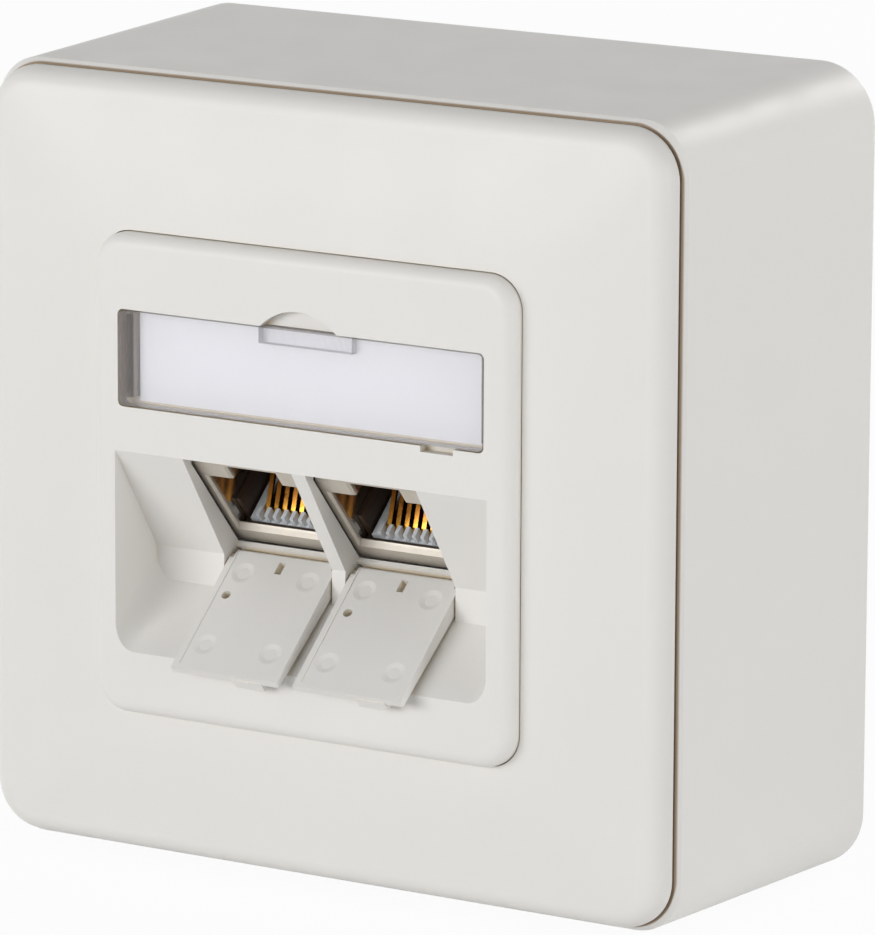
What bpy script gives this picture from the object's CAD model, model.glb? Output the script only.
import math

import bpy
from mathutils import Matrix, Vector


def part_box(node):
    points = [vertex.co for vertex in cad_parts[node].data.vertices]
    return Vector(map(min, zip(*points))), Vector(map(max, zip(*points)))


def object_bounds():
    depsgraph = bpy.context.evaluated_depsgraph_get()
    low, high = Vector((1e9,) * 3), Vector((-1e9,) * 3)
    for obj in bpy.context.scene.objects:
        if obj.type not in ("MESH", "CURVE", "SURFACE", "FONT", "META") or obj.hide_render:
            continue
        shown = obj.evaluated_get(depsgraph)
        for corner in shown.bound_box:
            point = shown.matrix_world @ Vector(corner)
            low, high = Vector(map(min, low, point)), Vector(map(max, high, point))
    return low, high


bl_info = {
    "name": "Data outlet box",
    "version": (1, 0, 0),
    "blender": (4, 5, 0),
    "location": "View3D > Sidebar > Outlet",
    "description": "Finishes a surface mount data outlet box with two slanted modular jacks",
    "category": "Object",
}

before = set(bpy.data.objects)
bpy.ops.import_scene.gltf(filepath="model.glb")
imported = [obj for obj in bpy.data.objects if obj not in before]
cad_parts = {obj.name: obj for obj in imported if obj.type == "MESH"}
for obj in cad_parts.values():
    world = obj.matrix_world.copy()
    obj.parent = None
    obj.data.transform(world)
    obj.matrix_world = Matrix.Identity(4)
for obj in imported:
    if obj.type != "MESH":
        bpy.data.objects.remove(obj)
CAD_LOW, CAD_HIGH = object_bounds()
MM = 0.001
JACK_SLANT = math.radians(42)  # a plug points up into the box by this much
PLUG_WAY = Vector((0, math.cos(JACK_SLANT), math.sin(JACK_SLANT)))
MOUTH_START = min(v.co.dot(PLUG_WAY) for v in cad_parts["right_jack_shell"].data.vertices)

# the joint between the cover frame and the bevelled rim of the box
COVER_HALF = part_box("cover_frame")[1][0]
COVER_CORNER = 5.2 * MM
RIM_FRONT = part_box("surface_box")[0][1]
RIM_BEVEL = 0.5 * MM
RIM_FADE = 0.1 * MM
JOINT_SHADE_START = 0.15 * MM
JOINT_SHADE_END = 0.3 * MM

# shares of open sky over which a seam turns to a hollow, and a hollow to open wall
SEAM_TO_HOLLOW = (0.03, 0.15)
HOLLOW_TO_OPEN = (0.15, 0.4)

# width and height of each soft lamp, and where it hangs, all in metres
FRONT_LAMP = ((0.9, 0.7), (-0.5, -1.1, 0.1))
SIDE_LAMP = ((0.6, 0.6), (1.15, -0.1, 0.15))
RIM_LAMP = ((0.45, 0.45), (0.26, 1.08, 0.65))
FLOOR_GLOW = 0.95  # share of the floor that shows as plain white where it is seen

CAMERA_PLACE = (0.384764, -0.63599, 0.154876)
CAMERA_ANGLES = (31.81, 12.09, 0.24)  # turn, dip and roll in degrees
FOCAL_LENGTH_MM = 280.5
SENSOR_WIDTH_MM = 36


def linear(code):
    """An sRGB hex colour as linear red, green and blue."""
    parts = [int(code[i : i + 2], 16) / 255 for i in (0, 2, 4)]
    return tuple(p / 12.92 if p <= 0.04045 else ((p + 0.055) / 1.055) ** 2.4 for p in parts)


def add(tree, kind, sockets=None, **settings):
    """Adds a node, with its settings and its sockets set or linked."""
    node = tree.nodes.new(kind)
    for name, value in settings.items():
        setattr(node, name, value)
    for name, value in (sockets or {}).items():
        if isinstance(value, bpy.types.NodeSocket):
            tree.links.new(value, node.inputs[name])
        else:
            node.inputs[name].default_value = value
    return node


def colour_property(name, description, code):
    return bpy.props.FloatVectorProperty(
        name=name,
        description=description,
        subtype="COLOR",
        size=3,
        min=0,
        max=1,
        default=linear(code),
    )


class OutletPlastics(bpy.types.PropertyGroup):
    """Colours and surface of the moulded parts."""

    shell_colour: colour_property("Shell", "White polycarbonate of box, frame and plate", "eae8e4")
    hollow_colour: colour_property("Hollows", "Cream that the white turns to in corners", "e8d7b2")
    joint_colour: colour_property("Joint", "Shade in the joint of box and cover", "9c8871")
    seam_colour: colour_property("Seams", "Buff that the white turns to deep in the gaps", "bda275")
    shell_roughness: bpy.props.FloatProperty(
        name="Shell roughness",
        description="Roughness of the white mouldings",
        default=0.42,
        min=0.05,
        max=1,
    )
    grain: bpy.props.FloatProperty(
        name="Grain",
        description="Width of the faint orange peel left by the mould",
        default=0.35 * MM,
        min=0.05 * MM,
        max=5 * MM,
        subtype="DISTANCE",
        unit="LENGTH",
    )
    carrier_colour: colour_property("Contact carrier", "Dark thermoplastic round the contacts", "3e2d1f")
    comb_colour: colour_property("Comb", "Pale thermoplastic of comb and terminal blocks", "eaf0f5")
    edge_colour: colour_property("Window edges", "Grey of the clear window's cut edges", "8c888a")
    card_colour: colour_property("Label card", "Plain label card", "f8f8fe")


class OutletMetals(bpy.types.PropertyGroup):
    """Colours of the metal parts."""

    nickel_colour: colour_property("Nickel", "Nickel plating of the jack shells and the tray", "cfc8bd")
    zinc_colour: colour_property("Zinc", "Zinc plating of the support frame and screws", "c4c5c4")
    gold_colour: colour_property("Gold", "Hard gold on the spring contacts", "f0b84c")
    bronze_colour: colour_property("Bronze", "Bare bronze of the contacts behind the gold", "8e5c26")
    tin_colour: colour_property("Tin", "Tin on the terminal blades", "cfcdc6")


class OutletStage(bpy.types.PropertyGroup):
    """Light and floor round the outlet."""

    fill_level: bpy.props.FloatProperty(
        name="Fill level", description="Strength of the light from the horizon", default=0.7, min=0
    )
    fill_above: bpy.props.FloatProperty(
        name="Fill above", description="Strength of the light from straight above", default=0.08, min=0
    )
    front_power: bpy.props.FloatProperty(
        name="Front lamp",
        description="Power of the soft front lamp",
        default=10.0,
        min=0,
        unit="POWER",
    )
    side_power: bpy.props.FloatProperty(
        name="Side lamp",
        description="Power of the soft lamp at the right",
        default=4.9,
        min=0,
        unit="POWER",
    )
    rim_power: bpy.props.FloatProperty(
        name="Rim lamp",
        description="Power of the lamp above and behind",
        default=3.6,
        min=0,
        unit="POWER",
    )
    floor_size: bpy.props.FloatProperty(
        name="Floor",
        description="Side of the pale floor",
        default=8.0,
        min=1,
        subtype="DISTANCE",
        unit="LENGTH",
    )


def new_material(name):
    """A material with an empty tree, and the object's own coordinates in metres."""
    material = bpy.data.materials.new(name)
    material.use_nodes = True
    tree = material.node_tree
    tree.nodes.clear()
    place = add(tree, "ShaderNodeTexCoord").outputs["Object"]
    return material, tree, place


def close_material(tree, shader):
    """Links the shader to the material's output."""
    add(tree, "ShaderNodeOutputMaterial", {"Surface": shader.outputs[0]})


def varied_colour(tree, place, colour, spread, size):
    """The colour, drifting a little lighter and darker over patches of a real size."""
    noise = add(
        tree,
        "ShaderNodeTexNoise",
        {"Vector": place, "Scale": 1 / size, "Detail": 3.0, "Roughness": 0.55},
    )
    ramp = add(tree, "ShaderNodeValToRGB", {"Fac": noise.outputs["Fac"]})
    for stop, share in zip(ramp.color_ramp.elements, (1 - spread, 1 + spread)):
        stop.color = tuple(min(1, c * share) for c in colour) + (1,)
    ramp.color_ramp.elements[0].position = 0.3
    ramp.color_ramp.elements[1].position = 0.7
    return ramp.outputs["Color"]


def varied_value(tree, place, low, high, size):
    """A value between low and high, drifting over patches of a real size."""
    noise = add(tree, "ShaderNodeTexNoise", {"Vector": place, "Scale": 1 / size, "Detail": 2.0})
    span = add(
        tree,
        "ShaderNodeMapRange",
        {"Value": noise.outputs["Fac"], "From Min": 0.3, "From Max": 0.7, "To Min": low, "To Max": high},
    )
    return span.outputs["Result"]


def blend_colours(tree, share, low, high):
    """From the low colour to the high one; each is a socket or plain numbers."""
    mixed = add(tree, "ShaderNodeMix", {"Factor": share}, data_type="RGBA")
    for socket, value in ((mixed.inputs[6], low), (mixed.inputs[7], high)):
        if isinstance(value, bpy.types.NodeSocket):
            tree.links.new(value, socket)
        else:
            socket.default_value = tuple(value)[:3] + (1,)
    return mixed.outputs[2]


def in_seams(tree, open_colour, hollow_colour, seam_colour, reach):
    """The open colour, turning to the others the more walls stand within reach."""
    openness = add(tree, "ShaderNodeAmbientOcclusion", {"Distance": reach}, samples=4).outputs["AO"]
    colour = seam_colour
    for (start, end), next_colour in ((SEAM_TO_HOLLOW, hollow_colour), (HOLLOW_TO_OPEN, open_colour)):
        share = add(
            tree,
            "ShaderNodeMapRange",
            {"Value": openness, "From Min": start, "From Max": end},
            interpolation_type="SMOOTHSTEP",
        )
        colour = blend_colours(tree, share.outputs["Result"], colour, next_colour)
    return colour


def under_cover(tree, place, open_colour, shade):
    """The shade on the strip of the box's rim that lies in the joint with the cover frame."""
    straight = COVER_HALF - COVER_CORNER
    reach = place
    for operation, operand in (
        ("MULTIPLY", (1, 0, 1)),
        ("ABSOLUTE", None),
        ("SUBTRACT", (straight, 0, straight)),
        ("MAXIMUM", (0, 0, 0)),
    ):
        sockets = {0: reach} if operand is None else {0: reach, 1: operand}
        reach = add(tree, "ShaderNodeVectorMath", sockets, operation=operation).outputs["Vector"]
    round_the_corner = add(tree, "ShaderNodeVectorMath", {0: reach}, operation="LENGTH").outputs["Value"]
    outside = add(
        tree,
        "ShaderNodeMapRange",
        {
            "Value": round_the_corner,
            "From Min": COVER_CORNER + JOINT_SHADE_START,
            "From Max": COVER_CORNER + JOINT_SHADE_END,
        },
    ).outputs["Result"]
    depth = add(tree, "ShaderNodeSeparateXYZ", {"Vector": place}).outputs["Y"]
    bevel_end = RIM_FRONT + RIM_BEVEL
    behind = add(
        tree,
        "ShaderNodeMapRange",
        {"Value": depth, "From Min": bevel_end, "From Max": bevel_end + RIM_FADE},
    ).outputs["Result"]
    clean = add(tree, "ShaderNodeMath", {0: outside, 1: behind}, operation="MAXIMUM").outputs[0]
    return blend_colours(tree, clean, shade, open_colour)


def fine_bump(tree, place, size, depth, strength):
    """The normal of a faintly uneven skin."""
    noise = add(tree, "ShaderNodeTexNoise", {"Vector": place, "Scale": 1 / size, "Detail": 2.0})
    bump = add(
        tree, "ShaderNodeBump", {"Height": noise.outputs["Fac"], "Distance": depth, "Strength": strength}
    )
    return bump.outputs["Normal"]


def moulded_polycarbonate(name, sizes, joint_shade=None):
    # Polycarbonate from a satin mould: an even, clean white with a soft broad highlight,
    # broken very slightly by orange peel and by the flow of the melt. Light that bounces in
    # its corners and holes comes out creamy, and in its narrow seams buff.
    material, tree, place = new_material(name)
    white = varied_colour(tree, place, sizes.shell_colour, spread=0.006, size=18 * MM)
    colour = in_seams(tree, white, sizes.hollow_colour, sizes.seam_colour, reach=1.0 * MM)
    if joint_shade:
        colour = under_cover(tree, place, colour, joint_shade)
    rough = sizes.shell_roughness
    shader = add(
        tree,
        "ShaderNodeBsdfPrincipled",
        {
            "Base Color": colour,
            "Roughness": varied_value(tree, place, low=rough * 0.9, high=rough * 1.1, size=6 * MM),
            "IOR": 1.5,
            "Specular IOR Level": 0.35,
            "Normal": fine_bump(tree, place, size=sizes.grain, depth=0.004 * MM, strength=0.5),
        },
    )
    close_material(tree, shader)
    return material


def clear_polycarbonate(name, edge_colour):
    # Injection moulded clear sheet, too thin to tint or to haze what lies behind it. Light
    # runs out of its cut edges, so they alone read as a darker grey outline.
    material, tree, place = new_material(name)
    normal = add(tree, "ShaderNodeNewGeometry").outputs["Normal"]
    along = add(tree, "ShaderNodeSeparateXYZ", {"Vector": normal}).outputs["Y"]
    square_on = add(tree, "ShaderNodeMath", {0: along}, operation="ABSOLUTE").outputs[0]
    face = add(
        tree, "ShaderNodeMapRange", {"Value": square_on, "From Min": 0.3, "From Max": 0.8}
    ).outputs[0]
    cover = add(tree, "ShaderNodeMapRange", {"Value": face, "To Min": 0.6, "To Max": 0.1}).outputs[0]
    clear = varied_colour(tree, place, linear("fbfbff"), spread=0.003, size=9 * MM)
    shader = add(
        tree,
        "ShaderNodeBsdfPrincipled",
        {
            "Base Color": blend_colours(tree, face, edge_colour, clear),
            "Roughness": varied_value(tree, place, low=0.06, high=0.12, size=5 * MM),
            "IOR": 1.58,
            "Alpha": cover,
            "Normal": fine_bump(tree, place, size=2.5 * MM, depth=0.003 * MM, strength=0.3),
        },
    )
    close_material(tree, shader)
    return material


def label_card_paper(name, colour):
    # Uncoated card: dead matt, with fibres that show only as a faint mottle.
    material, tree, place = new_material(name)
    stretched = add(
        tree, "ShaderNodeMapping", {"Vector": place, "Scale": (1.0, 1.0, 3.0)}
    ).outputs["Vector"]
    shader = add(
        tree,
        "ShaderNodeBsdfPrincipled",
        {
            "Base Color": varied_colour(tree, stretched, colour, spread=0.02, size=0.5 * MM),
            "Roughness": varied_value(tree, place, low=0.85, high=0.95, size=2 * MM),
            "Specular IOR Level": 0.3,
            "Normal": fine_bump(tree, stretched, size=0.25 * MM, depth=0.01 * MM, strength=0.5),
        },
    )
    close_material(tree, shader)
    return material


def plated_metal(name, colour, roughness, grain, streak):
    # Plating over a stamped sheet: bright metal whose reflections are soft in patches and
    # drawn out along the rolling direction.
    material, tree, place = new_material(name)
    drawn = add(
        tree, "ShaderNodeMapping", {"Vector": place, "Scale": (1.0, 1.0, streak)}
    ).outputs["Vector"]
    shader = add(
        tree,
        "ShaderNodeBsdfPrincipled",
        {
            "Base Color": varied_colour(tree, drawn, colour, spread=0.03, size=2.5 * MM),
            "Metallic": 1.0,
            "Roughness": varied_value(
                tree, drawn, low=roughness * 0.75, high=roughness * 1.3, size=grain
            ),
            "Normal": fine_bump(tree, drawn, size=grain, depth=0.004 * MM, strength=0.35),
        },
    )
    close_material(tree, shader)
    return material


def along_plug(tree, place, start, end):
    """0 to 1 over a stretch of the slanted plug axis, measured from the mouth's edge."""
    run = add(tree, "ShaderNodeVectorMath", {0: place, 1: PLUG_WAY}, operation="DOT_PRODUCT")
    span = add(
        tree,
        "ShaderNodeMapRange",
        {"Value": run.outputs["Value"], "From Min": MOUTH_START + start, "From Max": MOUTH_START + end},
        interpolation_type="SMOOTHSTEP",
    )
    return span.outputs["Result"]


def cast_and_plated(name, colour):
    # Nickel over a zinc die casting: the face round the mouth keeps the casting's blasted,
    # nearly matt skin, while the walls inside are drawn smooth and mirror the contacts. The
    # skin is dull and dark in the tight gap round the shell.
    material, tree, place = new_material(name)
    inside = along_plug(tree, place, start=0.3 * MM, end=0.8 * MM)
    roughness = add(tree, "ShaderNodeMapRange", {"Value": inside, "To Min": 0.55, "To Max": 0.13})
    metal = add(tree, "ShaderNodeMapRange", {"Value": inside, "To Min": 0.55, "To Max": 0.95})
    shader = add(
        tree,
        "ShaderNodeBsdfPrincipled",
        {
            "Base Color": in_seams(
                tree,
                varied_colour(tree, place, colour, spread=0.04, size=1.2 * MM),
                linear("4a4038"),
                linear("14110e"),
                reach=1.4 * MM,
            ),
            "Metallic": metal.outputs["Result"],
            "Roughness": roughness.outputs["Result"],
            "Normal": fine_bump(tree, place, size=0.3 * MM, depth=0.006 * MM, strength=0.4),
        },
    )
    close_material(tree, shader)
    return material


def selectively_gilded(name, colour, bare_colour):
    # Hard gold only where the plug touches, over bronze that darkens towards the bend.
    material, tree, place = new_material(name)
    back = along_plug(tree, place, start=0.8 * MM, end=4.2 * MM)
    gold = varied_colour(tree, place, colour, spread=0.05, size=0.8 * MM)
    shader = add(
        tree,
        "ShaderNodeBsdfPrincipled",
        {
            "Base Color": blend_colours(tree, back, gold, bare_colour),
            "Metallic": 1.0,
            "Roughness": varied_value(tree, place, low=0.15, high=0.3, size=0.5 * MM),
            "Normal": fine_bump(tree, place, size=0.4 * MM, depth=0.004 * MM, strength=0.3),
        },
    )
    close_material(tree, shader)
    return material


def moulded_thermoplastic(name, colour, roughness):
    # Glass filled PBT from a spark eroded mould: matt to semi matt with a fine speckle.
    material, tree, place = new_material(name)
    shader = add(
        tree,
        "ShaderNodeBsdfPrincipled",
        {
            "Base Color": varied_colour(tree, place, colour, spread=0.08, size=0.8 * MM),
            "Roughness": varied_value(
                tree, place, low=roughness * 0.85, high=roughness * 1.15, size=0.6 * MM
            ),
            "IOR": 1.55,
            "Normal": fine_bump(tree, place, size=0.15 * MM, depth=0.01 * MM, strength=0.5),
        },
    )
    close_material(tree, shader)
    return material


def solder_masked_board(name):
    # Glass epoxy under green solder mask: glossy, with faint broad bands of the cloth under it.
    material, tree, place = new_material(name)
    band_scale = 100.0  # puts the wave texture's diagonal bands 2 pi mm apart
    bands = add(
        tree,
        "ShaderNodeTexWave",
        {"Vector": place, "Scale": band_scale, "Distortion": 0.5},
        bands_direction="DIAGONAL",
    ).outputs["Fac"]
    bump = add(tree, "ShaderNodeBump", {"Height": bands, "Distance": 0.01 * MM, "Strength": 0.4})
    shader = add(
        tree,
        "ShaderNodeBsdfPrincipled",
        {
            "Base Color": varied_colour(tree, place, linear("1f5a34"), spread=0.12, size=3 * MM),
            "Roughness": varied_value(tree, place, low=0.25, high=0.4, size=4 * MM),
            "Normal": bump.outputs["Normal"],
        },
    )
    close_material(tree, shader)
    return material


def dress(material, *nodes):
    """Gives CAD nodes a material."""
    for name in nodes:
        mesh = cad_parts[name].data
        mesh.materials.clear()
        mesh.materials.append(material)


class OUTLET_OT_mouldings(bpy.types.Operator):
    """Finish the wall box, the cover frame, the centre plate and the flaps"""

    bl_idname = "outlet.mouldings"
    bl_label = "White mouldings"

    def execute(self, context):
        sizes = context.scene.outlet_plastics
        white = moulded_polycarbonate("moulded_white_polycarbonate", sizes)
        dress(white, "cover_frame", "centre_plate", "left_flap", "right_flap")
        box = moulded_polycarbonate("moulded_white_polycarbonate_box", sizes, sizes.joint_colour)
        dress(box, "surface_box")
        return {"FINISHED"}


class OUTLET_OT_label(bpy.types.Operator):
    """Finish the label card and its clear window"""

    bl_idname = "outlet.label"
    bl_label = "Label field"

    def execute(self, context):
        sizes = context.scene.outlet_plastics
        dress(clear_polycarbonate("clear_polycarbonate_window", sizes.edge_colour), "label_window")
        dress(label_card_paper("plain_label_card", sizes.card_colour), "label_card")
        return {"FINISHED"}


class OUTLET_OT_jacks(bpy.types.Operator):
    """Finish the jack shells, their carriers, combs and contacts"""

    bl_idname = "outlet.jacks"
    bl_label = "Jacks"

    def execute(self, context):
        plastics = context.scene.outlet_plastics
        metals = context.scene.outlet_metals
        nickel = cast_and_plated("nickel_plated_zinc_casting", metals.nickel_colour)
        dress(nickel, "left_jack_shell", "right_jack_shell", "module_housing", "module_lid")
        dark = moulded_thermoplastic(
            "moulded_dark_thermoplastic", plastics.carrier_colour, roughness=0.45
        )
        dress(dark, "left_jack_insert", "right_jack_insert")
        pale = moulded_thermoplastic("moulded_pale_thermoplastic", plastics.comb_colour, roughness=0.4)
        dress(pale, "left_contact_comb", "right_contact_comb")
        dress(pale, "left_terminal_block", "right_terminal_block")
        gold = selectively_gilded("gilded_bronze_contacts", metals.gold_colour, metals.bronze_colour)
        dress(gold, "left_jack_contacts", "right_jack_contacts")
        return {"FINISHED"}


class OUTLET_OT_module(bpy.types.Operator):
    """Finish the board, the blades, the steel support frame, its screws and rivets"""

    bl_idname = "outlet.module"
    bl_label = "Frame and wiring"

    def execute(self, context):
        metals = context.scene.outlet_metals
        zinc = plated_metal(
            "zinc_plated_steel_sheet", metals.zinc_colour, roughness=0.35, grain=1.5 * MM, streak=0.2
        )
        dress(zinc, "support_frame", "support_screws", "plate_screw", "module_rivets")
        tin = plated_metal(
            "tin_plated_bronze", metals.tin_colour, roughness=0.35, grain=0.6 * MM, streak=1.0
        )
        dress(tin, "left_terminal_blades", "right_terminal_blades")
        dress(solder_masked_board("solder_masked_board"), "circuit_board")
        return {"FINISHED"}


class OUTLET_OT_stage(bpy.types.Operator):
    """Set up the floor, the soft light and the camera"""

    bl_idname = "outlet.stage"
    bl_label = "Stage"

    def execute(self, context):
        stage = context.scene.outlet_stage
        context.scene.view_settings.view_transform = "Standard"
        self.make_floor(stage)
        self.make_light(context, stage)
        self.make_camera(context)
        return {"FINISHED"}

    def make_floor(self, stage):
        """A pale floor that shows white but keeps the object's shadow."""
        bpy.ops.mesh.primitive_plane_add(size=stage.floor_size, location=(0, 0, CAD_LOW[2]))
        floor = bpy.context.object
        floor.name = "floor"
        material = bpy.data.materials.new("pale_studio_floor")
        material.use_nodes = True
        tree = material.node_tree
        tree.nodes.clear()
        seen = self.seen_rays(tree)
        paint = add(tree, "ShaderNodeBsdfDiffuse", {"Color": (0.9, 0.9, 0.9, 1)})
        glow = add(tree, "ShaderNodeEmission", {"Color": (1, 1, 1, 1), "Strength": 1.0})
        share = add(tree, "ShaderNodeMath", {0: seen, 1: FLOOR_GLOW}, operation="MULTIPLY").outputs[0]
        mixed = add(tree, "ShaderNodeMixShader", {0: share, 1: paint.outputs[0], 2: glow.outputs[0]})
        add(tree, "ShaderNodeOutputMaterial", {"Surface": mixed.outputs[0]})
        floor.data.materials.append(material)

    def seen_rays(self, tree):
        """1 for the rays that show the background: camera, glossy and transmission."""
        rays = add(tree, "ShaderNodeLightPath").outputs
        seen = rays["Is Camera Ray"]
        for other in ("Is Glossy Ray", "Is Transmission Ray"):
            seen = add(tree, "ShaderNodeMath", {0: seen, 1: rays[other]}, operation="MAXIMUM").outputs[0]
        return seen

    def make_light(self, context, stage):
        """A white surround, dimmer from above as a light, and three soft lamps."""
        world = bpy.data.worlds.new("soft_studio")
        context.scene.world = world
        world.use_nodes = True
        tree = world.node_tree
        tree.nodes.clear()
        seen = self.seen_rays(tree)
        direction = add(tree, "ShaderNodeTexCoord").outputs["Generated"]
        height = add(tree, "ShaderNodeSeparateXYZ", {"Vector": direction}).outputs["Z"]
        fill = add(
            tree,
            "ShaderNodeMapRange",
            {"Value": height, "To Min": stage.fill_level, "To Max": stage.fill_above},
        ).outputs["Result"]
        strength = add(
            tree, "ShaderNodeMapRange", {"Value": seen, "To Min": fill, "To Max": 1.0}
        ).outputs["Result"]
        light = add(tree, "ShaderNodeBackground", {"Color": (1, 1, 1, 1), "Strength": strength})
        add(tree, "ShaderNodeOutputWorld", {"Surface": light.outputs[0]})
        self.make_softbox(context, "front_softbox", *FRONT_LAMP, stage.front_power)
        self.make_softbox(context, "side_softbox", *SIDE_LAMP, stage.side_power)
        self.make_softbox(context, "rim_softbox", *RIM_LAMP, stage.rim_power)

    def make_softbox(self, context, name, size, place, power):
        """A soft area lamp that faces the object and that the camera doesn't see."""
        lamp = bpy.data.lights.new(name, "AREA")
        lamp.shape = "RECTANGLE"
        lamp.size, lamp.size_y = size
        lamp.energy = power
        softbox = bpy.data.objects.new(name, lamp)
        context.scene.collection.objects.link(softbox)
        softbox.location = place
        softbox.visible_camera = False
        softbox.rotation_euler = (-softbox.location).to_track_quat("-Z", "Y").to_euler()

    def make_camera(self, context):
        """A long lens from the right and a little above."""
        turn, dip, roll = (math.radians(angle) for angle in CAMERA_ANGLES)
        lens = bpy.data.cameras.new("camera")
        lens.sensor_width = SENSOR_WIDTH_MM
        lens.lens = FOCAL_LENGTH_MM
        lens.clip_start = 0.01
        camera = bpy.data.objects.new("camera", lens)
        context.scene.collection.objects.link(camera)
        look = Vector((-math.sin(turn) * math.cos(dip), math.cos(turn) * math.cos(dip), -math.sin(dip)))
        right = Vector((math.cos(turn), math.sin(turn), 0))
        up = right.cross(look)
        level = Matrix((right, up, -look)).transposed()
        turned = (level @ Matrix.Rotation(roll, 3, "Z")).to_4x4()
        camera.matrix_world = Matrix.Translation(CAMERA_PLACE) @ turned
        context.scene.camera = camera


class OUTLET_PT_panel(bpy.types.Panel):
    """Sizes, colours and steps of the data outlet"""

    bl_idname = "OUTLET_PT_panel"
    bl_label = "Data outlet box"
    bl_space_type = "VIEW_3D"
    bl_region_type = "UI"
    bl_category = "Outlet"

    def draw(self, context):
        for group_name in GROUPS:
            group = getattr(context.scene, group_name)
            column = self.layout.column()
            for name in group.__annotations__:
                column.prop(group, name)
        for step in STEPS:
            self.layout.operator(step.bl_idname)


STEPS = (
    OUTLET_OT_stage,
    OUTLET_OT_mouldings,
    OUTLET_OT_label,
    OUTLET_OT_jacks,
    OUTLET_OT_module,
)
GROUPS = {"outlet_plastics": OutletPlastics, "outlet_metals": OutletMetals, "outlet_stage": OutletStage}


def register():
    for item in (*GROUPS.values(), *STEPS, OUTLET_PT_panel):
        bpy.utils.register_class(item)
    for name, group in GROUPS.items():
        setattr(bpy.types.Scene, name, bpy.props.PointerProperty(type=group))


def unregister():
    for name in GROUPS:
        delattr(bpy.types.Scene, name)
    for item in reversed((*GROUPS.values(), *STEPS, OUTLET_PT_panel)):
        bpy.utils.unregister_class(item)


def main():
    register()
    for step in STEPS:
        family, name = step.bl_idname.split(".")
        getattr(getattr(bpy.ops, family), name)()


if __name__ == "__main__":
    main()
